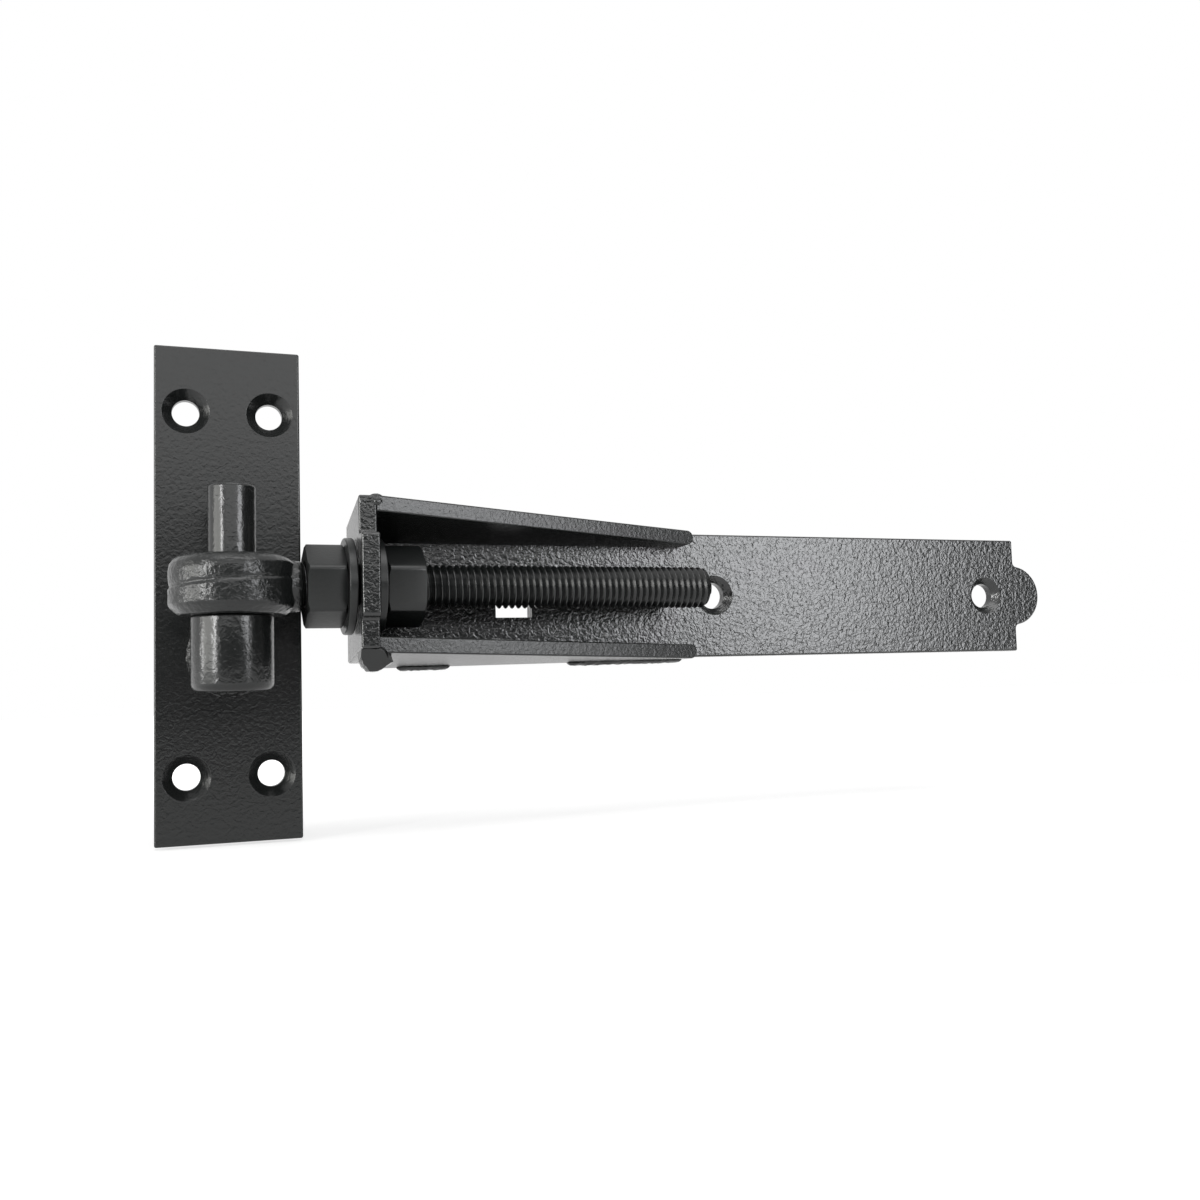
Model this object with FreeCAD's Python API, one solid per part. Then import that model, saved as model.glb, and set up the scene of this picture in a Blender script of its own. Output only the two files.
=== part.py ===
import FreeCAD, Part
import math
import os

V = FreeCAD.Vector

# Flat bar that the plate and the strap are both cut from
BAR_WIDTH = 40.0
BAR_THICKNESS = 5.0
EDGE_ROUND = 0.6

# Back plate and its four countersunk screw holes
PLATE_LENGTH = 141.0
PLATE_HOLE_SPACING_X = 23.0
PLATE_HOLE_SPACING_Z = 103.5
PLATE_HOLE_D = 7.5
COUNTERSINK_D = 13.0

# Hinge pin, its boss and the stem that carries both off the plate
PIN_D = 12.7
PIN_RISE_ABOVE_EYE = 19.5
PIN_END_ROUND = 1.0
BOSS_D = 21.5
BOSS_HEIGHT = 20.5
BOSS_END_ROUND = 2.5
PIN_STANDOFF = 19.2
STEM_D = 16.0
PIN_WELD_LEG = 3.8
PIN_WELD_FULLNESS = 0.55

# Forged eye with its threaded shank. The thread's depth and crest are shares of its pitch, as standards
# give them.
EYE_D = 33.0
EYE_HEIGHT = 16.0
EYE_EDGE_ROUND = 2.4
EYE_BORE_CLEARANCE = 0.1
EYE_BORE_CHAMFER = 0.8
SEAM_DEPTH = 0.5
SEAM_WIDTH = 1.4
NECK_D = 14.2
NECK_ROUND = 1.2
NECK_GAP = 0.4
THREAD_D = 12.7
THREADS_PER_INCH = 13.0
THREAD_ANGLE = 60.0
THREAD_DEPTH_IN_PITCHES = 0.54
THREAD_CREST_IN_PITCHES = 0.125
THREAD_CUT_CLEARANCE = 0.1
SHANK_LENGTH = 140.0
SHANK_END_CHAMFER = 1.2

# Nuts and washers on the shank. The washer fills the room beside the lower gusset, and each nut is run
# up by hand, a little short of its seat.
NUT_ACROSS_FLATS = 20.5
WASHER_GAP = 2.3
NUT_THICKNESS = 10.6
NUT_CORNER_CHAMFER = 1.0
NUT_TURN = -8.0
NUT_BORE_CLEARANCE = 0.1
NUT_PLAY = 0.6
WASHER_THICKNESS = 2.4
WASHER_BORE_CLEARANCE = 0.3
WASHER_EDGE_ROUND = 0.4

# Strap: bar, upturned head, tail tab and holes
STRAP_LENGTH = 250.0
STRAP_DROP = 1.0
STRAP_STANDOFF = 16.9
NUT_STANDOFF = 18.8
BEND_RADIUS = 4.0
HEAD_HOLE_CLEARANCE = 0.4
HEAD_TOP_RISE = 5.4
HEAD_BOTTOM_RISE = 3.4
HEAD_REACH_TOP = 10.5
HEAD_REACH_NOSE = 15.5
HEAD_REACH_BOTTOM = 13.0
NOSE_TOP = 13.6
NOSE_BOTTOM = -9.3
NOSE_ROUND = 1.1
TAB_RADIUS = 10.5
TAB_ROOT_ROUND = 1.8
STRAP_HOLE_D = 8.5
STRAP_HOLE_FROM_TIP = 23.4
STRAP_HOLE_SPACING = 107.4
SQUARE_HOLE_SIDE = 11.5
SQUARE_HOLE_FROM_HEAD = 50.9
SQUARE_HOLE_DROP = 1.1

# Side gussets between the upturned head and the bar
GUSSET_THICKNESS = 4.5
GUSSET_LENGTH = 103.7
GUSSET_REACH = 10.5
GUSSET_TAIL_HEIGHT = 7.6
GUSSET_END_ROUND = 2.2
GUSSET_EDGE_ROUND = 0.5
GUSSET_CLIP_CLEARANCE = 0.6
LOWER_OVERHANG_HEAD = 1.6
LOWER_OVERHANG_TAIL = 0.7
LOWER_LEAN = 3.7

# Cutters run past the faces that they open
PAST = 1.0

# Weld beads: stitches along the gussets' feet, and beads up the corners by the upturned head
STITCH_RADIUS = 2.4
STITCH_SINK = 1.4
UPPER_TAIL_STITCH_LENGTH = 5.4
UPPER_TAIL_STITCH_MARGIN = 0.3
LOWER_TAIL_STITCH_LENGTH = 40.0
LOWER_TAIL_STITCH_MARGIN = 1.7
LOWER_HEAD_STITCH_LENGTH = 17.0
LOWER_HEAD_STITCH_MARGIN = 9.0
UPPER_CORNER_RADIUS = 2.4
UPPER_CORNER_SINK = 1.4
LOWER_CORNER_RADIUS = 3.6
LOWER_CORNER_START_SINK = 0.5
LOWER_CORNER_TIP_PROUD = 1.1
LOWER_CORNER_TIP_TO_HEAD = 0.7
UPPER_CORNER_FROM_STRAP = 9.5
LOWER_CORNER_FROM_STRAP = 14.0
UPPER_CORNER_TO_FRONT = 2.0
LOWER_CORNER_TO_FRONT = 1.5
GROUND_FLAT_OFFSET = 1.3
GROUND_FLAT_FACES = (-0.25, -0.85, -0.45)

# Places that follow from the sizes above. The origin is the middle of the plate's back face, the pin
# is parallel to +Z, +X runs to the strap's tail and +Y goes into the post.
pin_y = -(BAR_THICKNESS + PIN_STANDOFF)
plate_front_y = -BAR_THICKNESS
eye_top = EYE_HEIGHT / 2
eye_bottom = -EYE_HEIGHT / 2
pin_top = eye_top + PIN_RISE_ABOVE_EYE
boss_bottom = eye_bottom - BOSS_HEIGHT
stem_z = (eye_bottom + boss_bottom) / 2
strap_front_y = pin_y + STRAP_STANDOFF
strap_back_y = strap_front_y + BAR_THICKNESS
strap_top = BAR_WIDTH / 2 - STRAP_DROP
strap_bottom = -BAR_WIDTH / 2 - STRAP_DROP
lower_foot_head_z = strap_bottom - LOWER_OVERHANG_HEAD
lower_foot_tail_z = strap_bottom - LOWER_OVERHANG_TAIL
lower_front_z = lower_foot_head_z + LOWER_LEAN
lean_at_shank = LOWER_LEAN * STRAP_STANDOFF / (STRAP_STANDOFF + GUSSET_REACH)
washer_r = -(lower_foot_head_z + lean_at_shank + GUSSET_THICKNESS) - WASHER_GAP
thread_pitch = 25.4 / THREADS_PER_INCH
outer_nut_x = NUT_STANDOFF
neck_end_x = outer_nut_x - NECK_GAP
outer_washer_x = outer_nut_x + NUT_THICKNESS
head_x = outer_washer_x + WASHER_THICKNESS + NUT_PLAY
head_inner_x = head_x + BAR_THICKNESS
inner_washer_x = head_inner_x
inner_nut_x = inner_washer_x + WASHER_THICKNESS + NUT_PLAY
strap_tip_x = head_x + STRAP_LENGTH
shoulder_x = strap_tip_x - TAB_RADIUS
tail_hole_x = strap_tip_x - STRAP_HOLE_FROM_TIP
middle_hole_x = tail_hole_x - STRAP_HOLE_SPACING
square_hole_x = head_x + SQUARE_HOLE_FROM_HEAD
gusset_tail_x = head_inner_x + GUSSET_LENGTH
gusset_front_y = pin_y - GUSSET_REACH
head_top_z = strap_top + HEAD_TOP_RISE
head_bottom_z = strap_bottom + HEAD_BOTTOM_RISE


def cylinder(radius, length, base, direction):
    return Part.makeCylinder(radius, length, base, direction)


def prism(points, sweep):
    """Solid from a closed outline of points, pushed along a vector."""
    outline = Part.makePolygon(points + [points[0]])
    return Part.Face(outline).extrude(sweep)


def turned(profile, base, direction):
    """Solid of revolution from (radius, height) pairs about an axis."""
    points = [V(radius, 0, height) for radius, height in profile]
    blank = Part.Face(Part.makePolygon(points + [points[0]])).revolve(V(0, 0, 0), V(0, 0, 1), 360)
    turn = FreeCAD.Rotation(V(0, 0, 1), direction)
    blank.Placement = FreeCAD.Placement(base, turn)
    return blank


def countersunk_hole(x, z, front_y, hole_d):
    """Cutter for a hole through the bar with a 90 degree countersink in its front face."""
    depth = (COUNTERSINK_D - hole_d) / 2
    drill = cylinder(hole_d / 2, BAR_THICKNESS + 2 * PAST, V(x, front_y - PAST, z), V(0, 1, 0))
    start = V(x, front_y - PAST, z)
    cone = Part.makeCone(COUNTERSINK_D / 2 + PAST, hole_d / 2, depth + PAST, start, V(0, 1, 0))
    return drill.fuse(cone)


def near(value, target):
    return abs(value - target) < 1e-4


def sharp_edges(shape):
    """Edges where two faces meet at an angle, leaving out the smooth seams beside a bend."""
    found = []
    for edge in shape.Edges:
        faces = shape.ancestorsOfType(edge, Part.Face)
        if len(faces) != 2:
            continue
        middle = edge.valueAt((edge.FirstParameter + edge.LastParameter) / 2)
        normals = [face.normalAt(*face.Surface.parameter(middle)) for face in faces]
        if abs(normals[0].dot(normals[1])) < 0.9:
            found.append(edge)
    return found


def back_plate():
    half_x = BAR_WIDTH / 2
    half_z = PLATE_LENGTH / 2
    plate = Part.makeBox(BAR_WIDTH, BAR_THICKNESS, PLATE_LENGTH, V(-half_x, plate_front_y, -half_z))
    plate = plate.makeFillet(EDGE_ROUND, plate.Edges)
    for side in (-1, 1):
        for end in (-1, 1):
            x = side * PLATE_HOLE_SPACING_X / 2
            z = end * PLATE_HOLE_SPACING_Z / 2
            plate = plate.cut(countersunk_hole(x, z, plate_front_y, PLATE_HOLE_D))
    return plate


def hinge_pin():
    pin = cylinder(PIN_D / 2, pin_top - eye_bottom, V(0, pin_y, eye_bottom), V(0, 0, 1))
    pin = pin.makeFillet(PIN_END_ROUND, [e for e in pin.Edges if near(e.CenterOfMass.z, pin_top)])
    boss = cylinder(BOSS_D / 2, BOSS_HEIGHT, V(0, pin_y, boss_bottom), V(0, 0, 1))
    boss = boss.makeFillet(BOSS_END_ROUND, [e for e in boss.Edges if near(e.CenterOfMass.z, boss_bottom)])
    boss = boss.makeFillet(EDGE_ROUND, [e for e in boss.Edges if near(e.CenterOfMass.z, eye_bottom)])
    stem = cylinder(STEM_D / 2, PIN_STANDOFF, V(0, pin_y, stem_z), V(0, 1, 0))
    return boss.fuse([pin, stem]).removeSplitter()


def pin_weld():
    root = STEM_D / 2
    bulge = PIN_WELD_LEG * PIN_WELD_FULLNESS
    profile = [(root, 0), (root + PIN_WELD_LEG, 0), (root + bulge, bulge), (root, PIN_WELD_LEG)]
    return turned(profile, V(0, plate_front_y, stem_z), V(0, -1, 0))


def thread_groove():
    """Cutter for the thread: a flat-bottomed V swept along a helix, from the neck past the shank's end."""
    slope = math.tan(math.radians(THREAD_ANGLE / 2))
    depth = thread_pitch * THREAD_DEPTH_IN_PITCHES
    root_r = THREAD_D / 2 - depth
    outer_r = THREAD_D / 2 + THREAD_CUT_CLEARANCE
    half_crest_gap = thread_pitch * (1 - THREAD_CREST_IN_PITCHES) / 2
    half_outer = half_crest_gap + THREAD_CUT_CLEARANCE * slope
    half_root = half_crest_gap - depth * slope
    points = [V(root_r, 0, -half_root), V(outer_r, 0, -half_outer), V(outer_r, 0, half_outer),
              V(root_r, 0, half_root)]
    start_x = neck_end_x + half_outer
    length = SHANK_LENGTH + thread_pitch - start_x
    turns = Part.makeLongHelix(thread_pitch, length, root_r)
    outline = Part.makePolygon(points + [points[0]])
    groove = Part.Wire(turns.Edges).makePipeShell([outline], True, True)
    groove.Placement = FreeCAD.Placement(V(start_x, pin_y, 0), FreeCAD.Rotation(V(0, 0, 1), V(1, 0, 0)))
    return groove


def eye_bolt():
    ring = cylinder(EYE_D / 2, EYE_HEIGHT, V(0, pin_y, eye_bottom), V(0, 0, 1))
    rims = [e for e in ring.Edges if near(abs(e.CenterOfMass.z), eye_top)]
    ring = ring.makeFillet(EYE_EDGE_ROUND, rims)
    half = SEAM_WIDTH / 2
    rim = EYE_D / 2
    seam = turned([(rim - SEAM_DEPTH, 0), (rim + PAST, -half * 2), (rim + PAST, half * 2)],
                  V(0, pin_y, 0), V(0, 0, 1))
    ring = ring.cut(seam)
    neck = cylinder(NECK_D / 2, neck_end_x, V(0, pin_y, 0), V(1, 0, 0))
    neck = neck.makeFillet(NECK_ROUND, [e for e in neck.Edges if near(e.CenterOfMass.x, neck_end_x)])
    shank = cylinder(THREAD_D / 2, SHANK_LENGTH, V(0, pin_y, 0), V(1, 0, 0))
    end = [e for e in shank.Edges if near(e.CenterOfMass.x, SHANK_LENGTH)]
    shank = shank.makeChamfer(SHANK_END_CHAMFER, end).cut(thread_groove())
    eye = ring.fuse([neck, shank])
    bore_r = PIN_D / 2 + EYE_BORE_CLEARANCE
    bore = cylinder(bore_r, EYE_HEIGHT, V(0, pin_y, eye_bottom), V(0, 0, 1))
    lead = EYE_BORE_CHAMFER
    top_lead = Part.makeCone(bore_r, bore_r + lead, lead, V(0, pin_y, eye_top - lead), V(0, 0, 1))
    bottom_lead = Part.makeCone(bore_r + lead, bore_r, lead, V(0, pin_y, eye_bottom), V(0, 0, 1))
    return eye.cut(bore).cut(top_lead).cut(bottom_lead)


def nut(x):
    """Hexagon nut that starts at x, turned a little so that its front flat looks down."""
    corner_r = NUT_ACROSS_FLATS / math.sqrt(3)
    angles = [math.radians(60 * k + NUT_TURN) for k in range(6)]
    corners = [V(x, pin_y + corner_r * math.sin(a), corner_r * math.cos(a)) for a in angles]
    hexagon = prism(corners, V(NUT_THICKNESS, 0, 0))
    cap = corner_r - NUT_CORNER_CHAMFER
    slope = NUT_CORNER_CHAMFER * math.tan(math.radians(30))
    envelope = turned([(0, 0), (cap, 0), (corner_r, slope), (corner_r, NUT_THICKNESS - slope),
                       (cap, NUT_THICKNESS), (0, NUT_THICKNESS)], V(x, pin_y, 0), V(1, 0, 0))
    bore_r = THREAD_D / 2 + NUT_BORE_CLEARANCE
    bore = cylinder(bore_r, NUT_THICKNESS, V(x, pin_y, 0), V(1, 0, 0))
    return hexagon.common(envelope).cut(bore)


def washer(x):
    disc = cylinder(washer_r, WASHER_THICKNESS, V(x, pin_y, 0), V(1, 0, 0))
    disc = disc.makeFillet(WASHER_EDGE_ROUND, sharp_edges(disc))
    bore_r = THREAD_D / 2 + WASHER_BORE_CLEARANCE
    return disc.cut(cylinder(bore_r, WASHER_THICKNESS, V(x, pin_y, 0), V(1, 0, 0)))


def strap():
    outer_r = BEND_RADIUS + BAR_THICKNESS
    bend_x = head_x + outer_r
    bend_y = strap_back_y - outer_r
    foot = V(bend_x, strap_front_y, strap_bottom)
    bar = Part.makeBox(shoulder_x - bend_x, BAR_THICKNESS, BAR_WIDTH, foot)
    tab = cylinder(TAB_RADIUS, BAR_THICKNESS, V(shoulder_x, strap_front_y, -STRAP_DROP), V(0, 1, 0))
    bar = bar.fuse(tab).removeSplitter()
    roots = [e for e in bar.Edges if near(e.CenterOfMass.x, shoulder_x)
             and near(abs(e.CenterOfMass.z + STRAP_DROP), TAB_RADIUS)]
    bar = bar.makeFillet(TAB_ROOT_ROUND, roots)
    corner = Part.makeBox(outer_r, outer_r, BAR_WIDTH, V(head_x, bend_y, strap_bottom))
    round_out = cylinder(outer_r, BAR_WIDTH, V(bend_x, bend_y, strap_bottom), V(0, 0, 1))
    round_in = cylinder(BEND_RADIUS, BAR_WIDTH, V(bend_x, bend_y, strap_bottom), V(0, 0, 1))
    bend = corner.common(round_out).cut(round_in)
    top_y = pin_y - HEAD_REACH_TOP
    nose_y = pin_y - HEAD_REACH_NOSE
    bottom_y = pin_y - HEAD_REACH_BOTTOM
    outline = [(bend_y, strap_top), (top_y, head_top_z), (top_y, NOSE_TOP), (nose_y, NOSE_TOP),
               (nose_y, NOSE_BOTTOM), (bottom_y, NOSE_BOTTOM), (bottom_y, head_bottom_z), (bend_y, strap_bottom)]
    head = prism([V(head_x, y, z) for y, z in outline], V(BAR_THICKNESS, 0, 0))
    steps = [e for e in head.Edges if near(abs(e.tangentAt(e.FirstParameter).x), 1)
             and (near(e.CenterOfMass.z, NOSE_TOP) or near(e.CenterOfMass.z, NOSE_BOTTOM))]
    head = head.makeFillet(NOSE_ROUND, steps)
    body = bar.fuse([bend, head]).removeSplitter()
    body = body.makeFillet(EDGE_ROUND, sharp_edges(body))
    hole_r = THREAD_D / 2 + HEAD_HOLE_CLEARANCE
    body = body.cut(cylinder(hole_r, BAR_THICKNESS, V(head_x, pin_y, 0), V(1, 0, 0)))
    for x in (middle_hole_x, tail_hole_x):
        body = body.cut(countersunk_hole(x, -STRAP_DROP, strap_front_y, STRAP_HOLE_D))
    half = SQUARE_HOLE_SIDE / 2
    square = Part.makeBox(SQUARE_HOLE_SIDE, BAR_THICKNESS, SQUARE_HOLE_SIDE,
                          V(square_hole_x - half, strap_front_y, -STRAP_DROP - SQUARE_HOLE_DROP - half))
    return body.cut(square)


def gusset_section(x, front_y, foot_z, front_z, inward):
    """Outline across a gusset at x, whose outer face leans from foot_z on the strap to front_z."""
    step = inward * GUSSET_THICKNESS
    points = [V(x, strap_front_y, foot_z), V(x, front_y, front_z), V(x, front_y, front_z + step),
              V(x, strap_front_y, foot_z + step)]
    return Part.makePolygon(points + [points[0]])


def gusset(foot_head_z, foot_tail_z, front_z, inward):
    """Tapered side plate. Its corner is clipped to pass the strap's inner bend."""
    tail_y = strap_front_y - GUSSET_TAIL_HEIGHT
    head = gusset_section(head_inner_x, gusset_front_y, foot_head_z, front_z, inward)
    tail = gusset_section(gusset_tail_x, tail_y, foot_tail_z, foot_tail_z, inward)
    plate = Part.makeLoft([head, tail], True, True)
    tail_edges = [e for e in plate.Edges if near(e.CenterOfMass.x, gusset_tail_x)
                  and near(abs(e.tangentAt(e.FirstParameter).y), 1)]
    plate = plate.makeFillet(GUSSET_END_ROUND, tail_edges)
    front_edges = [e for e in plate.Edges if e.CenterOfMass.y < tail_y + 0.1
                   and not near(e.CenterOfMass.x, head_inner_x)]
    plate = plate.makeFillet(GUSSET_EDGE_ROUND, front_edges)
    clip = BEND_RADIUS + GUSSET_CLIP_CLEARANCE
    low = min(foot_head_z, front_z) - 2 * GUSSET_THICKNESS
    height = 4 * GUSSET_THICKNESS + abs(front_z - foot_head_z)
    wedge = prism([V(head_inner_x, strap_front_y, low), V(head_inner_x + clip, strap_front_y, low),
                   V(head_inner_x, strap_front_y - clip, low)], V(0, 0, height))
    return plate.cut(wedge)


def upper_gusset():
    return gusset(strap_top, strap_top, head_top_z, -1)


def lower_gusset():
    return gusset(lower_foot_head_z, lower_foot_tail_z, lower_front_z, 1)


def bead(start, end, radius):
    """Round-ended run of weld between two points on its centre line."""
    length = start.distanceToPoint(end)
    bottom = V(0, 0, -radius)
    top = V(0, 0, length + radius)
    slant = radius / math.sqrt(2)
    low_arc = Part.Arc(bottom, V(slant, 0, -slant), V(radius, 0, 0)).toShape()
    side = Part.makeLine(V(radius, 0, 0), V(radius, 0, length))
    high_arc = Part.Arc(V(radius, 0, length), V(slant, 0, length + slant), top).toShape()
    profile = Part.Face(Part.Wire([low_arc, side, high_arc, Part.makeLine(top, bottom)]))
    run = profile.revolve(V(0, 0, 0), V(0, 0, 1), 360)
    run.Placement = FreeCAD.Placement(start, FreeCAD.Rotation(V(0, 0, 1), end - start))
    return run


def stitch_weld(start_x, length, foot_z_at, inward, pieces):
    """Stitch over the outer seam between a gusset's foot and the strap's edge."""
    first = start_x + STITCH_RADIUS
    last = start_x + length - STITCH_RADIUS
    start = V(first, strap_front_y, foot_z_at(first) + inward * STITCH_SINK)
    end = V(last, strap_front_y, foot_z_at(last) + inward * STITCH_SINK)
    return bead(start, end, STITCH_RADIUS).cut(pieces)


def upper_foot_z(x):
    return strap_top


def lower_foot_z(x):
    """Height of the lower gusset's outer edge where it stands on the strap."""
    along = (x - head_inner_x) / GUSSET_LENGTH
    return lower_foot_head_z + (lower_foot_tail_z - lower_foot_head_z) * along


def upper_tail_weld(pieces):
    start_x = gusset_tail_x - UPPER_TAIL_STITCH_MARGIN - UPPER_TAIL_STITCH_LENGTH
    return stitch_weld(start_x, UPPER_TAIL_STITCH_LENGTH, upper_foot_z, -1, pieces)


def lower_tail_weld(pieces):
    start_x = gusset_tail_x - LOWER_TAIL_STITCH_MARGIN - LOWER_TAIL_STITCH_LENGTH
    return stitch_weld(start_x, LOWER_TAIL_STITCH_LENGTH, lower_foot_z, 1, pieces)


def lower_head_weld(pieces):
    start_x = head_inner_x + LOWER_HEAD_STITCH_MARGIN
    return stitch_weld(start_x, LOWER_HEAD_STITCH_LENGTH, lower_foot_z, 1, pieces)


def corner_seam(foot_z, front_z, forward, off_seam):
    """Point beside the outer seam between a gusset's end and the upturned head."""
    reach = strap_front_y - gusset_front_y
    z = foot_z + (front_z - foot_z) * forward / reach
    return V(head_inner_x, strap_front_y - forward, z) + off_seam


def upper_corner_weld(pieces):
    reach = strap_front_y - gusset_front_y
    sunk = V(0, 0, -UPPER_CORNER_SINK)
    start = corner_seam(strap_top, head_top_z, UPPER_CORNER_FROM_STRAP, sunk)
    end = corner_seam(strap_top, head_top_z, reach - UPPER_CORNER_TO_FRONT, sunk)
    return bead(start, end, UPPER_CORNER_RADIUS).cut(pieces)


def lower_corner_weld(pieces):
    """Heavy bead under the lower corner, its front end ground to a slanting flat."""
    reach = strap_front_y - gusset_front_y
    sunk = V(0, 0, LOWER_CORNER_START_SINK)
    proud = V(-LOWER_CORNER_TIP_TO_HEAD, 0, -LOWER_CORNER_TIP_PROUD)
    start = corner_seam(lower_foot_head_z, lower_front_z, LOWER_CORNER_FROM_STRAP, sunk)
    tip = corner_seam(lower_foot_head_z, lower_front_z, reach - LOWER_CORNER_TO_FRONT, proud)
    away = V(*GROUND_FLAT_FACES).normalize()
    block = Part.makeBox(4 * LOWER_CORNER_RADIUS, 4 * LOWER_CORNER_RADIUS, 2 * LOWER_CORNER_RADIUS,
                         V(-2 * LOWER_CORNER_RADIUS, -2 * LOWER_CORNER_RADIUS, GROUND_FLAT_OFFSET))
    block.Placement = FreeCAD.Placement(tip, FreeCAD.Rotation(V(0, 0, 1), away))
    return bead(start, tip, LOWER_CORNER_RADIUS).cut(pieces + [block])


if __name__ == "__main__":
    os.makedirs("parts", exist_ok=True)
    bar = strap()
    upper = upper_gusset()
    lower = lower_gusset()
    nodes = {"back_plate": back_plate(), "hinge_pin": hinge_pin(), "pin_weld": pin_weld(),
             "eye_bolt": eye_bolt(), "outer_nut": nut(outer_nut_x), "outer_washer": washer(outer_washer_x),
             "strap": bar, "inner_washer": washer(inner_washer_x), "inner_nut": nut(inner_nut_x),
             "upper_gusset": upper, "lower_gusset": lower,
             "upper_corner_weld": upper_corner_weld([bar, upper]),
             "lower_corner_weld": lower_corner_weld([bar, lower]),
             "upper_tail_weld": upper_tail_weld([bar, upper]),
             "lower_head_weld": lower_head_weld([bar, lower]),
             "lower_tail_weld": lower_tail_weld([bar, lower])}
    for node, shape in nodes.items():
        shape.exportStep("parts/" + node + ".step")
        print(node, "valid" if shape.isValid() else "not valid", len(shape.Solids), round(shape.Volume, 1))
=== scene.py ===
import math

import bpy
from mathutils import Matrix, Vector


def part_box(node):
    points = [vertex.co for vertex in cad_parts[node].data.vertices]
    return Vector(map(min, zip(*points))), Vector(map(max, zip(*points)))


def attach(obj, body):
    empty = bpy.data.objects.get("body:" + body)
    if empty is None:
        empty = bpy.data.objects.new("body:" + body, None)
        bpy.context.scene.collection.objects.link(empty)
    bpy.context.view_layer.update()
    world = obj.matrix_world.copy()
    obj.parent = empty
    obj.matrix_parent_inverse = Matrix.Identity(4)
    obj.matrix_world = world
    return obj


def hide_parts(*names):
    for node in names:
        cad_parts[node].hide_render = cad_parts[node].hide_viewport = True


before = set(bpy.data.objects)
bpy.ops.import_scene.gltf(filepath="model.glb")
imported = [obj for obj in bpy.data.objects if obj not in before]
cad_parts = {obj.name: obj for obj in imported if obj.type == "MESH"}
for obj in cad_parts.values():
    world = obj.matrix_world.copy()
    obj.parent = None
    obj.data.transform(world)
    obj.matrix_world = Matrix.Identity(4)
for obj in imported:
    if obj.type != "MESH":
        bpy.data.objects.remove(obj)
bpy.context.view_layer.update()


# Back plate. A length of 40 x 5 mm flat bar with four countersunk holes, coated in black powder that
# dried with an orange-peel skin. The same black coat, in other skins, covers all of the hinge.
COAT_BLACK = (0.0092, 0.0102, 0.0100, 1.0)
PEEL_DETAIL = 1.0
PEEL_WARP = 0.6
GRAINS_PER_PEEL = 3.6
GRAIN_DETAIL = 2.0
GRAIN_WARP = 0.0
MERGE_GAP = 0.000002
EDGE_SOFT = 0.0004
SOFT_STEPS = 3
FLAT_WITHIN_DEGREES = 0.5
SOFTENED_FROM_DEGREES = 35
SMOOTH_WITHIN_DEGREES = 30


def skin_layer(tree, place, spots_per_metre, detail, warp, height):
    """Noise on the piece's own coordinates, raised as a bump of that height."""
    noise = tree.nodes.new("ShaderNodeTexNoise")
    noise.inputs["Scale"].default_value = spots_per_metre
    noise.inputs["Detail"].default_value = detail
    noise.inputs["Distortion"].default_value = warp
    bump = tree.nodes.new("ShaderNodeBump")
    bump.inputs["Strength"].default_value = 1.0
    bump.inputs["Distance"].default_value = height
    tree.links.new(place.outputs["Object"], noise.inputs["Vector"])
    tree.links.new(noise.outputs["Fac"], bump.inputs["Height"])
    return bump


def powder_coat(name, peel_size, peel_height, roughness, grain_height, gloss=0.5):
    """Black coat. Its skin swells by peel_height over spots of peel_size, with a finer grain on top."""
    coat = bpy.data.materials.new(name)
    coat.use_nodes = True
    tree = coat.node_tree
    shader = tree.nodes["Principled BSDF"]
    shader.inputs["Base Color"].default_value = COAT_BLACK
    shader.inputs["Roughness"].default_value = roughness
    shader.inputs["Specular IOR Level"].default_value = gloss
    place = tree.nodes.new("ShaderNodeTexCoord")
    peel = skin_layer(tree, place, 1 / peel_size, PEEL_DETAIL, PEEL_WARP, peel_height)
    grain = skin_layer(tree, place, GRAINS_PER_PEEL / peel_size, GRAIN_DETAIL, GRAIN_WARP, grain_height)
    tree.links.new(peel.outputs["Normal"], grain.inputs["Normal"])
    tree.links.new(grain.outputs["Normal"], shader.inputs["Normal"])
    return coat


def select_only(piece):
    bpy.ops.object.select_all(action="DESELECT")
    bpy.context.view_layer.objects.active = piece
    piece.select_set(True)


def apply_modifiers(piece):
    select_only(piece)
    for modifier in list(piece.modifiers):
        bpy.ops.object.modifier_apply(modifier=modifier.name)


def face_outwards(piece):
    select_only(piece)
    bpy.ops.object.mode_set(mode="EDIT")
    bpy.ops.mesh.select_all(action="SELECT")
    bpy.ops.mesh.remove_doubles(threshold=MERGE_GAP)
    bpy.ops.mesh.normals_make_consistent(inside=False)
    bpy.ops.object.mode_set(mode="OBJECT")


def smooth_by_angle(piece, degrees=SMOOTH_WITHIN_DEGREES):
    select_only(piece)
    bpy.ops.object.shade_smooth_by_angle(angle=math.radians(degrees))


def give(piece, material, slot, body, *nodes):
    """Finishes a piece: its coat, its body and the CAD nodes that it stands for."""
    piece.data.materials.clear()
    piece.data.materials.append(material)
    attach(piece, body)
    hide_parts(*nodes)


def copy_of(name, node):
    """A merged copy of a CAD node's mesh, as a piece of its own."""
    piece = bpy.data.objects.new(name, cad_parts[node].data.copy())
    bpy.context.scene.collection.objects.link(piece)
    face_outwards(piece)
    return piece


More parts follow.
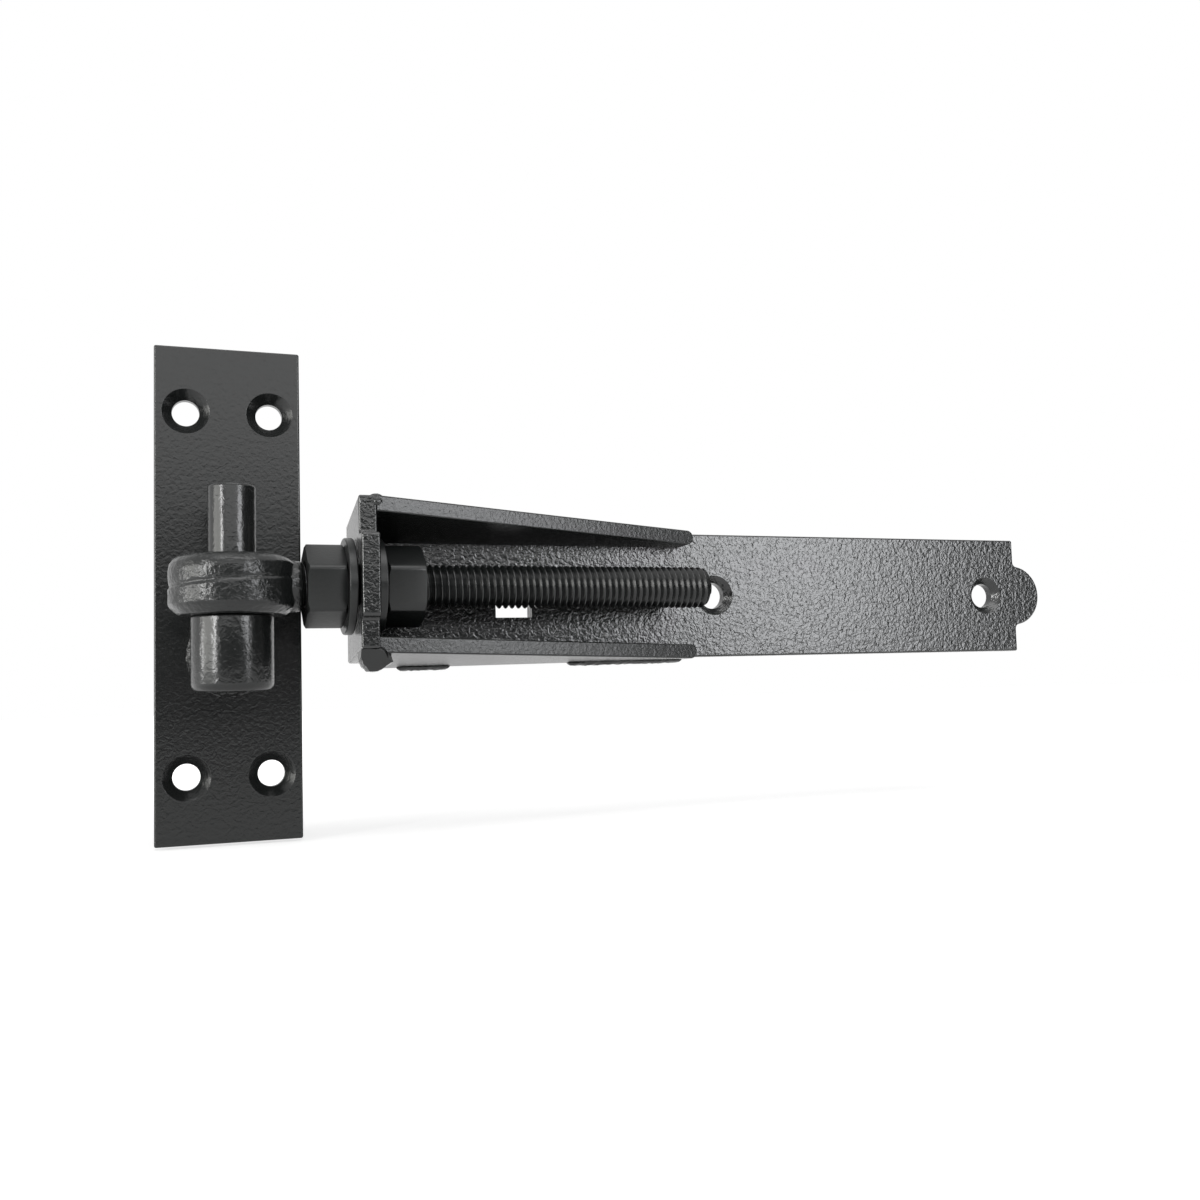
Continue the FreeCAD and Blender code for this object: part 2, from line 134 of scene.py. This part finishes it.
def softened(name, node, body, material, slot, soft=EDGE_SOFT):
    """The node's own shape with its sharp edges rounded, as rolled bar and its coat round them."""
    piece = copy_of(name, node)
    bpy.ops.object.mode_set(mode="EDIT")
    bpy.ops.mesh.select_all(action="SELECT")
    bpy.ops.mesh.dissolve_limited(angle_limit=math.radians(FLAT_WITHIN_DEGREES))
    bpy.ops.object.mode_set(mode="OBJECT")
    rounding = piece.modifiers.new("rounding", "BEVEL")
    rounding.width = soft
    rounding.segments = SOFT_STEPS
    rounding.limit_method = "ANGLE"
    rounding.angle_limit = math.radians(SOFTENED_FROM_DEGREES)
    apply_modifiers(piece)
    smooth_by_angle(piece)
    shading = piece.modifiers.new("shading", "WEIGHTED_NORMAL")
    shading.keep_sharp = True
    apply_modifiers(piece)
    give(piece, material, slot, body, node)


plate_coat = powder_coat("textured_coat", peel_size=0.00125, peel_height=0.00007, roughness=0.23,
                         grain_height=0.00001)
softened("post_plate_bar", "back_plate", "post_plate", plate_coat, "textured_coat")


# Hinge pin. Turned from round bar: the pin that the eye swings on, the thicker boss that carries the
# eye's weight, and the stem that holds both off the plate. The stem is welded on, so all is one piece.
EYE_HEIGHT = 0.016
PIN_R = 0.00635
PIN_TOP = 0.0275
PIN_END_ROUND = 0.001
BOSS_R = 0.01075
BOSS_FOOT = -0.0285
BOSS_TOP_ROUND = 0.0006
BOSS_FOOT_ROUND = 0.0025
STEM_R = 0.008
STEM_Z = -0.01825
STEM_SIDES = 96
ROUND_STEPS = 6
TURNED_STEPS = 128
PIN_SMOOTH_DEGREES = 32
DOT = 0.001
pin_place = Vector((0, -0.0242, 0))
plate_front_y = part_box("back_plate")[0].y


def settle(piece):
    """Puts the piece's place into its mesh."""
    select_only(piece)
    bpy.ops.object.transform_apply(location=True, rotation=True, scale=True)


def drawn_line(name, points):
    """A chain of edges through (radius, height) points, extruded from a plane merged to one vertex."""
    bpy.ops.object.select_all(action="DESELECT")
    bpy.ops.mesh.primitive_plane_add(size=DOT)
    line = bpy.context.object
    line.name = name
    line.data.name = name
    bpy.ops.object.mode_set(mode="EDIT")
    bpy.ops.mesh.select_mode(type="VERT")
    bpy.ops.mesh.merge(type="CENTER")
    steps = [Vector((radius, 0, height)) for radius, height in points]
    bpy.ops.transform.translate(value=steps[0])
    for start, end in zip(steps, steps[1:]):
        bpy.ops.mesh.extrude_region_move(TRANSFORM_OT_translate={"value": end - start})
    bpy.ops.object.mode_set(mode="OBJECT")
    return line


def turned(name, points, place, along_x=False):
    """Turns (radius, height) points round an axis through place: +Z, or +X."""
    piece = drawn_line(name, points)
    lathe = piece.modifiers.new("lathe", "SCREW")
    lathe.axis = "Z"
    lathe.steps = TURNED_STEPS
    lathe.render_steps = TURNED_STEPS
    lathe.use_merge_vertices = True
    lathe.merge_threshold = MERGE_GAP
    apply_modifiers(piece)
    piece.location = place
    if along_x:
        piece.rotation_euler = (0, math.pi / 2, 0)
    settle(piece)
    face_outwards(piece)
    return piece


def combine(piece, tool, operation):
    """Joins, cuts or keeps the overlap of piece with tool, which is used up."""
    select_only(piece)
    change = piece.modifiers.new("change", "BOOLEAN")
    change.operation = operation
    change.solver = "EXACT"
    change.object = tool
    apply_modifiers(piece)
    bpy.data.objects.remove(tool)


def rounded(radius, height, round_r, upwards):
    """Points of a quarter round between a flat end at height and a side at radius."""
    points = []
    for step in range(ROUND_STEPS + 1):
        angle = math.pi / 2 * step / ROUND_STEPS
        out = radius - round_r + round_r * math.sin(angle)
        rise = round_r * (1 - math.cos(angle))
        points.append((out, height - rise if upwards else height + rise))
    return points if upwards else points[::-1]


smooth_coat = powder_coat("smooth_coat", peel_size=0.0015, peel_height=0.00009, roughness=0.21,
                          grain_height=0.000008)
pin_profile = [(0, PIN_TOP)] + rounded(PIN_R, PIN_TOP, PIN_END_ROUND, True)
pin_profile += [(PIN_R, -EYE_HEIGHT / 2)]
pin_profile += rounded(BOSS_R, -EYE_HEIGHT / 2, BOSS_TOP_ROUND, True)
pin_profile += rounded(BOSS_R, BOSS_FOOT, BOSS_FOOT_ROUND, False)
pin_profile += [(0, BOSS_FOOT)]
pin = turned("turned_pin", pin_profile, pin_place)
stem_length = plate_front_y - pin_place.y
bpy.ops.object.select_all(action="DESELECT")
bpy.ops.mesh.primitive_cylinder_add(vertices=STEM_SIDES, radius=STEM_R, depth=stem_length,
                                    location=(0, pin_place.y + stem_length / 2, STEM_Z),
                                    rotation=(math.pi / 2, 0, 0))
stem = bpy.context.object
settle(stem)
combine(pin, stem, "UNION")
smooth_by_angle(pin, PIN_SMOOTH_DEGREES)
give(pin, smooth_coat, "smooth_coat", "post_plate", "hinge_pin")


# Weld round the stem. A hand-laid fillet, lumpy and rippled, that holds the stem on the plate. It is
# coated with the rest, a little rougher.
WELD_VOXEL = 0.00028
CLOUD_DEPTH = 2
weld_coat = powder_coat("weld_coat", peel_size=0.0011, peel_height=0.00012, roughness=0.26,
                        grain_height=0.000015)


def even_skin(piece, voxel):
    """Rebuilds a piece as one fine, even mesh."""
    remesh = piece.modifiers.new("remesh", "REMESH")
    remesh.mode = "VOXEL"
    remesh.voxel_size = voxel
    apply_modifiers(piece)


def lumpy(piece, name, size, height):
    """Swells and dents a fine mesh with a cloud pattern of that size."""
    pattern = bpy.data.textures.new(name, "CLOUDS")
    pattern.noise_scale = size
    pattern.noise_depth = CLOUD_DEPTH
    swell = piece.modifiers.new(name, "DISPLACE")
    swell.texture = pattern
    swell.strength = height
    apply_modifiers(piece)


def rough_weld(name, node, body, lump_size, lump_height):
    """A bead with the CAD bead's place and size, and the lumps that a hand-laid bead has."""
    bead = copy_of(name, node)
    even_skin(bead, WELD_VOXEL)
    lumpy(bead, name + "_lumps", lump_size, lump_height)
    bpy.ops.object.shade_smooth()
    give(bead, weld_coat, "textured_coat", body, node)
    return bead


rough_weld("stem_weld", "pin_weld", "post_plate", lump_size=0.0022, lump_height=0.0016)


# Eye. Drop-forged round the pin, with the flash line of its two dies round its middle and a short rough
# neck to the shank. Its lower rim is chamfered and its upper rim rounded; it swings on the pin.
EYE_PROFILE_MM = [(0, 8.0), (12.6, 8.0), (14.0, 7.7), (15.2, 6.9), (16.0, 5.8), (16.4, 4.2), (16.5, 2.0),
                  (16.5, -1.0), (16.35, -5.2), (16.0, -5.8), (14.1, -7.7), (13.4, -8.0), (0, -8.0)]
UPPER_DIE_R = 0.01625
COLLAR_R = 0.019
COLLAR_HEIGHT = 0.010
SEAM_TILT_DEGREES = 4.5
SEAM_RISE = 0.0010
SEAM_R = 0.0168
SEAM_HOLLOW_R = 0.00075
NECK_R = 0.0071
NECK_START = 0.010
NECK_END = 0.0184
BORE_R = 0.00648
BORE_FLARE_R = 0.0083
BORE_FLARE_START = 0.0072
BORE_REACH = 0.009
FORGING_VOXEL = 0.0003
BLEND_FACTOR = 0.5
BLEND_STEPS = 2
SEAM_HOLLOW_SIDES = 16
EYE_SMOOTH_DEGREES = 50

eye = turned("forged_eye", [(r / 1000, z / 1000) for r, z in EYE_PROFILE_MM], pin_place)
seam_place = pin_place + Vector((0, 0, SEAM_RISE))
seam_turn = (0, -math.radians(SEAM_TILT_DEGREES), 0)
collar = turned("collar", [(UPPER_DIE_R, 0), (COLLAR_R, 0), (COLLAR_R, COLLAR_HEIGHT),
                           (UPPER_DIE_R, COLLAR_HEIGHT), (UPPER_DIE_R, 0)], (0, 0, 0))
collar.location = seam_place
collar.rotation_euler = seam_turn
settle(collar)
combine(eye, collar, "DIFFERENCE")
bpy.ops.object.select_all(action="DESELECT")
bpy.ops.mesh.primitive_torus_add(major_segments=TURNED_STEPS, minor_segments=SEAM_HOLLOW_SIDES,
                                 major_radius=SEAM_R, minor_radius=SEAM_HOLLOW_R,
                                 location=seam_place, rotation=seam_turn)
seam = bpy.context.object
settle(seam)
combine(eye, seam, "DIFFERENCE")
neck = turned("neck", [(0, NECK_START), (NECK_R + 0.0006, NECK_START), (NECK_R, 0.0165),
                       (NECK_R - 0.0003, 0.0178), (NECK_R - 0.0011, NECK_END), (0, NECK_END)],
              pin_place, along_x=True)
combine(eye, neck, "UNION")
even_skin(eye, FORGING_VOXEL)
blend = eye.modifiers.new("blend", "SMOOTH")
blend.factor = BLEND_FACTOR
blend.iterations = BLEND_STEPS
apply_modifiers(eye)
lumpy(eye, "forging_swells", size=0.0045, height=0.00025)
lumpy(eye, "forging_scale", size=0.0013, height=0.00018)
bore = turned("bore", [(0, BORE_REACH), (BORE_FLARE_R, BORE_REACH), (BORE_R, BORE_FLARE_START),
                       (BORE_R, -BORE_FLARE_START), (BORE_FLARE_R, -BORE_REACH), (0, -BORE_REACH)],
              pin_place)
combine(eye, bore, "DIFFERENCE")
smooth_by_angle(eye, EYE_SMOOTH_DEGREES)
forged_coat = powder_coat("forged_coat", peel_size=0.0009, peel_height=0.00014, roughness=0.25,
                          grain_height=0.00001)
give(eye, forged_coat, "smooth_coat", "eye_bolt", "eye_bolt")


# Threaded shank. A rolled 12.7 mm thread of 13 turns to the inch, from the eye's neck to a chamfered
# tail. Both nuts run on it, and it is coated black with the eye.
PITCH = 0.0254 / 13
THREAD_R = 0.0063
THREAD_ROOT_R = 0.00525
CREST_ROUND = 0.00008
ROOT_ROUND = 0.00012
THREAD_STEPS = 48
TURNS_IN_NECK = 2
TURNS_TO_SPARE = 3
SHANK_END = 0.140
SHANK_IN_NECK = 0.0004
TAIL_TAPER = 0.0032
TAIL_R = 0.0052
ENVELOPE_R = 0.008
THREAD_SMOOTH_DEGREES = 40

# One turn of the thread, as points of (radius, share of the pitch).
thread_line = [(THREAD_ROOT_R, 0), (THREAD_ROOT_R + ROOT_ROUND, 0.09), (THREAD_R - CREST_ROUND, 0.41),
               (THREAD_R, 0.46), (THREAD_R, 0.54), (THREAD_R - CREST_ROUND, 0.59),
               (THREAD_ROOT_R + ROOT_ROUND, 0.91), (THREAD_ROOT_R, 1.0)]
shank = drawn_line("threaded_shank", [(radius, share * PITCH) for radius, share in thread_line])
screw = shank.modifiers.new("screw", "SCREW")
screw.axis = "Z"
screw.screw_offset = PITCH
screw.iterations = int((SHANK_END - NECK_END) / PITCH) + TURNS_TO_SPARE
screw.steps = THREAD_STEPS
screw.render_steps = THREAD_STEPS
screw.use_merge_vertices = True
screw.merge_threshold = MERGE_GAP
apply_modifiers(shank)
shank.location = (NECK_END - TURNS_IN_NECK * PITCH, pin_place.y, 0)
shank.rotation_euler = (0, math.pi / 2, 0)
settle(shank)
face_outwards(shank)
bpy.ops.object.mode_set(mode="EDIT")
for cut_x, outwards in ((NECK_END - SHANK_IN_NECK, -1), (SHANK_END, 1)):
    bpy.ops.mesh.select_all(action="SELECT")
    bpy.ops.mesh.bisect(plane_co=(cut_x, 0, 0), plane_no=(outwards, 0, 0), use_fill=True, clear_outer=True)
bpy.ops.object.mode_set(mode="OBJECT")
envelope = turned("envelope", [(0, 0), (ENVELOPE_R, 0), (ENVELOPE_R, SHANK_END - TAIL_TAPER),
                               (TAIL_R, SHANK_END), (0, SHANK_END)], pin_place, along_x=True)
combine(shank, envelope, "INTERSECT")
smooth_by_angle(shank, THREAD_SMOOTH_DEGREES)
thread_coat = powder_coat("thread_coat", peel_size=0.0009, peel_height=0.00003, roughness=0.24,
                          grain_height=0.000004)
give(shank, thread_coat, "smooth_coat", "eye_bolt", "eye_bolt")


# Nuts. Two black steel hexagon nuts, one each side of the upturned end, with corners chamfered on both
# faces and a countersunk bore. A hair's gap at each face lets them turn clear of the washers.
NUT_FLATS = 0.0205
NUT_THICKNESS = 0.0106
NUT_FACE_GAP = 0.00005
NUT_TURN_DEGREES = -22.0
NUT_CHAMFER = 0.0011
NUT_CHAMFER_DEGREES = 30
NUT_BORE_R = 0.00645
NUT_BORE_CHAMFER = 0.0007
PAST_FACE = 0.0003
CORNER_SOFT = 0.0008
CORNER_STEPS = 4
RIM_SOFT = 0.00018
RIM_STEPS = 2
RIM_FROM_DEGREES = 25
fastener_black = powder_coat("black_fastener", peel_size=0.0009, peel_height=0.00003, roughness=0.32,
                             grain_height=0.000006, gloss=0.42)


def hexagon_nut(name, node, body):
    """A nut in its node's place, made from a six-sided cylinder along the shank."""
    low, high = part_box(node)
    corner_r = NUT_FLATS / math.sqrt(3)
    bpy.ops.object.select_all(action="DESELECT")
    bpy.ops.mesh.primitive_cylinder_add(vertices=6, radius=corner_r,
                                        depth=NUT_THICKNESS - 2 * NUT_FACE_GAP,
                                        location=((low.x + high.x) / 2, pin_place.y, 0))
    nut = bpy.context.object
    nut.name = name
    nut.data.name = name
    nut.rotation_mode = "ZYX"
    nut.rotation_euler = (0, math.pi / 2, math.radians(NUT_TURN_DEGREES))
    settle(nut)
    bpy.ops.object.mode_set(mode="EDIT")
    bpy.ops.mesh.select_mode(type="EDGE")
    bpy.ops.mesh.select_all(action="DESELECT")
    bpy.ops.object.mode_set(mode="OBJECT")
    for edge in nut.data.edges:
        start, end = (nut.data.vertices[index].co for index in edge.vertices)
        edge.select = abs(start.x - end.x) > NUT_THICKNESS / 2
    bpy.ops.object.mode_set(mode="EDIT")
    bpy.ops.mesh.bevel(offset=CORNER_SOFT, segments=CORNER_STEPS)
    bpy.ops.object.mode_set(mode="OBJECT")
    slope = NUT_CHAMFER * math.tan(math.radians(NUT_CHAMFER_DEGREES))
    face_r = corner_r - NUT_CHAMFER
    skin = turned("skin", [(0, 0), (face_r, 0), (corner_r, slope), (corner_r, NUT_THICKNESS - slope),
                           (face_r, NUT_THICKNESS), (0, NUT_THICKNESS)],
                  (low.x, pin_place.y, 0), along_x=True)
    combine(nut, skin, "INTERSECT")
    flare_r = NUT_BORE_R + NUT_BORE_CHAMFER + PAST_FACE
    bore = turned("bore", [(0, -PAST_FACE), (flare_r, -PAST_FACE), (NUT_BORE_R, NUT_BORE_CHAMFER),
                           (NUT_BORE_R, NUT_THICKNESS - NUT_BORE_CHAMFER),
                           (flare_r, NUT_THICKNESS + PAST_FACE), (0, NUT_THICKNESS + PAST_FACE)],
                  (low.x, pin_place.y, 0), along_x=True)
    combine(nut, bore, "DIFFERENCE")
    soften = nut.modifiers.new("soften", "BEVEL")
    soften.width = RIM_SOFT
    soften.segments = RIM_STEPS
    soften.limit_method = "ANGLE"
    soften.angle_limit = math.radians(RIM_FROM_DEGREES)
    apply_modifiers(nut)
    smooth_by_angle(nut)
    give(nut, fastener_black, "black_fastener", body, node)


hexagon_nut("outer_hexagon_nut", "outer_nut", "outer_nut")
hexagon_nut("inner_hexagon_nut", "inner_nut", "inner_nut")


# Washers. Two plain black steel washers, punched from sheet, one between each nut and the upturned end.
# They go with the strap.
WASHER_SOFT = 0.0003
softened("outer_plain_washer", "outer_washer", "strap_body", fastener_black, "black_fastener", WASHER_SOFT)
softened("inner_plain_washer", "inner_washer", "strap_body", fastener_black, "black_fastener", WASHER_SOFT)


# Strap and gussets. Flat bar with its head bent forward and bored for the shank, and two tapered side
# plates that stiffen the corner. The strap's coat dried with a rougher skin than the gussets'.
strap_coat = powder_coat("strap_coat", peel_size=0.00115, peel_height=0.00016, roughness=0.2,
                         grain_height=0.000018, gloss=0.7)
gusset_coat = powder_coat("gusset_coat", peel_size=0.0011, peel_height=0.00008, roughness=0.27,
                          grain_height=0.00001)
softened("gate_strap", "strap", "strap_body", strap_coat, "textured_coat")
softened("upper_side_gusset", "upper_gusset", "strap_body", gusset_coat, "textured_coat")
softened("lower_side_gusset", "lower_gusset", "strap_body", gusset_coat, "textured_coat")


# Bracket welds. Stitches along the gussets' feet and beads up the corners by the upturned head. The
# lower corner bead ends in a thick blob that is ground to a slanting flat with bevelled sides.
STITCH_LUMPS = {"lump_size": 0.0015, "lump_height": 0.0005}
UPPER_CORNER_LUMPS = {"lump_size": 0.0018, "lump_height": 0.0004}
LOWER_CORNER_LUMPS = {"lump_size": 0.0018, "lump_height": 0.0005}
BLOB_CENTRE = Vector((0.0371, -0.0325, -0.0203))
BLOB_SIZE = (0.0090, 0.0070, 0.0072)
# Each ground side: a place on it, and the way it faces.
GROUND_SIDES = [(Vector((0.0367, -0.03472, -0.0202)), (-0.25, -0.85, -0.45)),
                (Vector((0.0328, -0.0336, -0.0201)), (-0.83, -0.15, -0.56)),
                (Vector((0.0372, -0.0330, -0.0238)), (0.45, -0.1, -0.79)),
                (Vector((0.0406, -0.0351, -0.0216)), (0.72, -0.3, 0.5)),
                (Vector((0.0360, -0.0359, -0.0181)), (0.0, -0.6, 0.8))]
GROUND_VOXEL = 0.0002

for stitch in ("upper_tail", "lower_head", "lower_tail"):
    rough_weld(stitch + "_bead", stitch + "_weld", "strap_body", **STITCH_LUMPS)
rough_weld("upper_corner_bead", "upper_corner_weld", "strap_body", **UPPER_CORNER_LUMPS)
ground_bead = rough_weld("lower_corner_bead", "lower_corner_weld", "strap_body", **LOWER_CORNER_LUMPS)
bpy.ops.object.select_all(action="DESELECT")
bpy.ops.mesh.primitive_cube_add(size=1, location=BLOB_CENTRE)
blob = bpy.context.object
blob.scale = BLOB_SIZE
settle(blob)
bpy.ops.object.mode_set(mode="EDIT")
for side_place, side_faces in GROUND_SIDES:
    bpy.ops.mesh.select_all(action="SELECT")
    bpy.ops.mesh.bisect(plane_co=side_place, plane_no=Vector(side_faces).normalized(), use_fill=True,
                        clear_outer=True)
bpy.ops.object.mode_set(mode="OBJECT")
face_outwards(blob)
select_only(ground_bead)
blob.select_set(True)
bpy.ops.object.join()
even_skin(ground_bead, GROUND_VOXEL)
smooth_by_angle(ground_bead)


# Studio. A white floor just under the plate in a white room. Two dark cards stand at the front and at
# the right, so the black coat has something dark to mirror, and soft lamps light the hinge between them.
FLOOR_DROP = 0.0008
FLOOR_SIZE = 6
FLOOR_COLOR = (0.55, 0.55, 0.55, 1)
FLOOR_CENTRE_X = 0.1
FLOOR_LIFT = 0.66
FAR_FLOOR_LIFT = 1.0
FLOOR_FADE = (0.14, 0.32)
ROOM_WHITE = (1, 1, 1, 1)
ROOM_SEEN = 1.0
ROOM_FILL = 0.4
CARD_COLOR = (0.05, 0.05, 0.05, 1)
LAMP_TARGET = Vector((0.08, 0, 0))
CAMERA_PLACE = (-0.01612, -0.35321, -0.03001)
CAMERA_TURN_DEGREES = (94.271, 1.641, -20.139)
CAMERA_LENS = 35.169
SENSOR_WIDTH = 36
NEAREST_SEEN = 0.01


def matt(name, color):
    """A plain surface that mirrors nothing."""
    material = bpy.data.materials.new(name)
    material.use_nodes = True
    shader = material.node_tree.nodes["Principled BSDF"]
    shader.inputs["Base Color"].default_value = color
    shader.inputs["Roughness"].default_value = 1.0
    shader.inputs["Specular IOR Level"].default_value = 0.0
    return material


def maths(nodes, operation):
    node = nodes.new("ShaderNodeMath")
    node.operation = operation
    return node


bpy.ops.object.select_all(action="DESELECT")
floor_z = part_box("back_plate")[0].z - FLOOR_DROP
bpy.ops.mesh.primitive_plane_add(size=FLOOR_SIZE, location=(0, 0, floor_z))
floor = bpy.context.object
floor.name = "floor"

# The floor glows for the camera and in reflections, less under the hinge, so that its shadow shows.
floor_white = matt("floor_white", FLOOR_COLOR)
floor_nodes = floor_white.node_tree.nodes
floor_links = floor_white.node_tree.links
floor_rays = floor_nodes.new("ShaderNodeLightPath")
floor_mirrored = maths(floor_nodes, "MAXIMUM")
floor_seen = maths(floor_nodes, "MAXIMUM")
floor_gain = maths(floor_nodes, "MULTIPLY")
floor_place = floor_nodes.new("ShaderNodeTexCoord")
floor_centre = floor_nodes.new("ShaderNodeMapping")
floor_centre.inputs["Location"].default_value = (-FLOOR_CENTRE_X, 0, 0)
floor_reach = floor_nodes.new("ShaderNodeVectorMath")
floor_reach.operation = "LENGTH"
floor_fade = floor_nodes.new("ShaderNodeMapRange")
floor_fade.interpolation_type = "SMOOTHSTEP"
floor_fade.inputs["From Min"].default_value = FLOOR_FADE[0]
floor_fade.inputs["From Max"].default_value = FLOOR_FADE[1]
floor_fade.inputs["To Min"].default_value = FLOOR_LIFT
floor_fade.inputs["To Max"].default_value = FAR_FLOOR_LIFT
floor_lift = floor_nodes.new("ShaderNodeEmission")
floor_sum = floor_nodes.new("ShaderNodeAddShader")
floor_links.new(floor_place.outputs["Object"], floor_centre.inputs["Vector"])
floor_links.new(floor_centre.outputs["Vector"], floor_reach.inputs[0])
floor_links.new(floor_reach.outputs["Value"], floor_fade.inputs["Value"])
floor_links.new(floor_rays.outputs["Is Glossy Ray"], floor_mirrored.inputs[0])
floor_links.new(floor_rays.outputs["Is Transmission Ray"], floor_mirrored.inputs[1])
floor_links.new(floor_rays.outputs["Is Camera Ray"], floor_seen.inputs[0])
floor_links.new(floor_mirrored.outputs["Value"], floor_seen.inputs[1])
floor_links.new(floor_seen.outputs["Value"], floor_gain.inputs[0])
floor_links.new(floor_fade.outputs["Result"], floor_gain.inputs[1])
floor_links.new(floor_gain.outputs["Value"], floor_lift.inputs["Strength"])
floor_links.new(floor_nodes["Principled BSDF"].outputs["BSDF"], floor_sum.inputs[0])
floor_links.new(floor_lift.outputs["Emission"], floor_sum.inputs[1])
floor_links.new(floor_sum.outputs["Shader"], floor_nodes["Material Output"].inputs["Surface"])
floor.data.materials.append(floor_white)

# The room is full white to the eye and in reflections, and dimmer as a light.
room = bpy.data.worlds.new("room")
bpy.context.scene.world = room
room.use_nodes = True
room_nodes = room.node_tree.nodes
room_links = room.node_tree.links
room_nodes["Background"].inputs["Color"].default_value = ROOM_WHITE
room_rays = room_nodes.new("ShaderNodeLightPath")
room_level = room_nodes.new("ShaderNodeMapRange")
room_level.inputs["To Min"].default_value = ROOM_SEEN
room_level.inputs["To Max"].default_value = ROOM_FILL
room_links.new(room_rays.outputs["Is Diffuse Ray"], room_level.inputs["Value"])
room_links.new(room_level.outputs["Result"], room_nodes["Background"].inputs["Strength"])

card_dark = matt("card_dark", CARD_COLOR)


def dark_card(name, start, end, height):
    """A card standing on the floor from start to end; the camera looks past it."""
    bpy.ops.object.select_all(action="DESELECT")
    bpy.ops.mesh.primitive_plane_add(size=1)
    card = bpy.context.object
    card.name = name
    run = Vector((end[0] - start[0], end[1] - start[1], 0))
    card.scale = (run.length, height, 1)
    card.rotation_euler = (math.pi / 2, 0, math.atan2(run.y, run.x))
    card.location = ((start[0] + end[0]) / 2, (start[1] + end[1]) / 2, floor_z + height / 2)
    card.visible_camera = False
    card.data.materials.append(card_dark)


dark_card("front_card", (-0.42, -0.5), (0.355, -0.5), 0.14)
dark_card("right_card", (0.75, -0.65), (0.75, 0.6), 0.42)


def softbox(name, azimuth, elevation, distance, width, height, power, color=(1, 1, 1)):
    """Area lamp aimed at the hinge, its direction measured from the camera's side round to +X."""
    turn = math.radians(azimuth)
    lift = math.radians(elevation)
    away = Vector((math.sin(turn) * math.cos(lift), -math.cos(turn) * math.cos(lift), math.sin(lift)))
    lamp = bpy.data.objects.new(name, bpy.data.lights.new(name, "AREA"))
    bpy.context.scene.collection.objects.link(lamp)
    lamp.location = LAMP_TARGET + away * distance
    lamp.rotation_euler = away.to_track_quat("Z", "Y").to_euler()
    lamp.data.shape = "RECTANGLE"
    lamp.data.size = width
    lamp.data.size_y = height
    lamp.data.energy = power
    lamp.data.color = color


softbox("front_right", azimuth=31, elevation=4, distance=1.6, width=0.46, height=1.0, power=12.2,
        color=(0.96, 0.975, 1.0))
softbox("left_wide", azimuth=-76, elevation=6, distance=1.5, width=1.1, height=0.8, power=10,
        color=(1.0, 1.0, 0.95))
softbox("left_strip", azimuth=-54, elevation=6, distance=1.4, width=0.12, height=0.8, power=8)
softbox("left_glint", azimuth=-91, elevation=-1, distance=1.2, width=0.16, height=0.22, power=1.0)
softbox("overhead", azimuth=0, elevation=62, distance=1.4, width=1.4, height=0.6, power=7)
softbox("brow", azimuth=-5, elevation=19, distance=1.6, width=1.8, height=0.5, power=3.2)

bpy.context.scene.view_settings.view_transform = "Standard"

camera = bpy.data.objects.new("camera", bpy.data.cameras.new("camera"))
bpy.context.scene.collection.objects.link(camera)
camera.location = CAMERA_PLACE
camera.rotation_euler = [math.radians(angle) for angle in CAMERA_TURN_DEGREES]
camera.data.lens = CAMERA_LENS
camera.data.sensor_width = SENSOR_WIDTH
camera.data.clip_start = NEAREST_SEEN
bpy.context.scene.camera = camera
